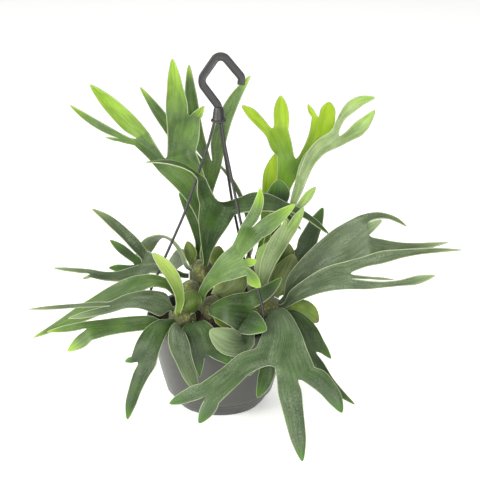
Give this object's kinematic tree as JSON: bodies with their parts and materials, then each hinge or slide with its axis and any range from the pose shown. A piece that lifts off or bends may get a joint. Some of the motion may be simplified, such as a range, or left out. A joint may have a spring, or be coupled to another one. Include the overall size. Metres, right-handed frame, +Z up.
{
  "type": "staghorn fern in a hanging pot",
  "caption": "Staghorn fern with forked antler fronds in a dark grey hanging pot with saucer and hook hanger, standing on its saucer.",
  "frame": {"origin": "centre of the saucer's underside, on the surface the pot stands on", "axes": "+Z up through the pot, +X to the right seen from the front, -Y towards the front, where the largest frond hangs over the rim"},
  "size_m": [0.4859, 0.2989, 0.42],
  "materials": {
    "pot_grey": "satin anthracite moulded plastic",
    "peat": "loose fibrous peat and bark",
    "rhizome": "matt, scaly",
    "leaf_deep": "leathery, faint bloom",
    "leaf_green": "leathery, faint bloom",
    "leaf_lime": "leathery, young",
    "leaf_blue": "leathery, whitish bloom",
    "leaf_grey": "finely felted",
    "leaf_pale": "silvery felted underside",
    "shield_green": "matt, mottled",
    "shield_papery": "matt, papery"
  },
  "bodies": {
    "root": {"saucer": "pot_grey", "pot": "pot_grey", "root_ball": "peat", "crown_back": "rhizome", "crown_left": "rhizome", "crown_front_left": "rhizome", "crown_centre": "rhizome", "crown_right": "rhizome", "crown_back_right": "rhizome", "hook": "pot_grey", "leg_left": "pot_grey", "leg_front": "pot_grey", "leg_back": "pot_grey", "frond_tall_left": "leaf_green", "frond_centre_dark": "leaf_deep", "frond_back_dark": "leaf_deep", "frond_back_trident": "leaf_green", "frond_back_arch": "leaf_grey", "frond_back_left": "leaf_deep", "frond_back_low_left": "leaf_green", "frond_back_low_mid": "leaf_blue", "frond_right_bright": "leaf_lime", "frond_back_short": "leaf_lime", "frond_right_pale": "leaf_pale", "frond_right_dark": "leaf_blue", "frond_back_crest": "leaf_deep", "frond_back_thin": "leaf_grey", "frond_back_low_right": "leaf_green", "frond_left_grey": "leaf_grey", "frond_left_band": "leaf_green", "frond_young_curl": "leaf_lime", "frond_left_front": "leaf_grey", "frond_left_low": "leaf_green", "frond_left_drop": "leaf_deep", "frond_front_left_grey": "leaf_grey", "frond_front_green": "leaf_deep", "frond_centre_front": "leaf_green", "frond_centre_gloss": "leaf_deep", "frond_front_big": "leaf_blue", "frond_front_grey": "leaf_grey", "frond_front_narrow": "leaf_deep", "frond_right_drop": "leaf_deep", "frond_right_upper": "leaf_grey", "frond_right_lower": "leaf_grey", "frond_right_small": "leaf_lime", "frond_pale_upright": "leaf_pale", "frond_pale_left": "leaf_pale", "shield_left": "shield_green", "shield_front": "shield_green", "shield_centre": "shield_papery", "shield_right": "shield_papery", "shield_right_low": "shield_green", "shield_back_right": "shield_green", "shield_back": "shield_green", "shield_back_left": "shield_green"}
  },
  "joints": []
}
